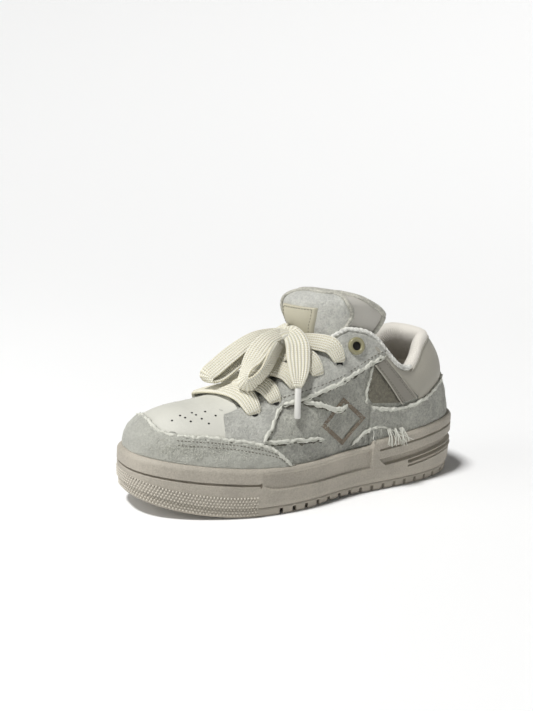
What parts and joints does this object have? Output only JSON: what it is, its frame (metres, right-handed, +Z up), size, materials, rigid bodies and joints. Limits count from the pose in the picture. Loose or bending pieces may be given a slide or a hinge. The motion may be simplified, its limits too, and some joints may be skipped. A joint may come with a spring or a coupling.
{
  "type": "low sneaker",
  "caption": "Chunky low left sneaker with frayed canvas panels, padded collar and tongue, wide flat laces in a bow, and a thick moulded cup sole with a stepped heel.",
  "frame": {"origin": "on the ground under the middle of the sole", "axes": "+X towards the toe, +Y towards the outer side of the left shoe, +Z up"},
  "size_m": [0.27, 0.1037, 0.144],
  "materials": {
    "tread": "matte moulded",
    "rubber": "matte moulded",
    "insole": "woven",
    "canvas": "distressed canvas",
    "leather": "smooth",
    "lining": "soft padded",
    "tongue": "brushed canvas",
    "label": "smooth patch",
    "ring": "satin",
    "lace": "knitted flat lace",
    "aglet": "clear coated"
  },
  "bodies": {
    "root": {"outsole": "tread", "midsole": "rubber", "insole": "insole", "upper": "canvas", "tongue": "tongue", "collar_lining": "lining", "mudguard": "canvas", "heel_counter": "canvas", "eyestay_outer": "canvas", "eyestay_inner": "canvas", "strap_outer": "leather", "strap_inner": "leather", "ring_outer": "ring", "ring_inner": "ring", "collar_binding": "leather", "tongue_label": "label", "lace_crossings": "lace", "lace_knot": "lace", "lace_loop_front": "lace", "lace_loop_side": "lace", "lace_end_outer": "lace", "lace_end_inner": "lace", "aglet_outer": "aglet", "aglet_inner": "aglet"}
  },
  "joints": []
}
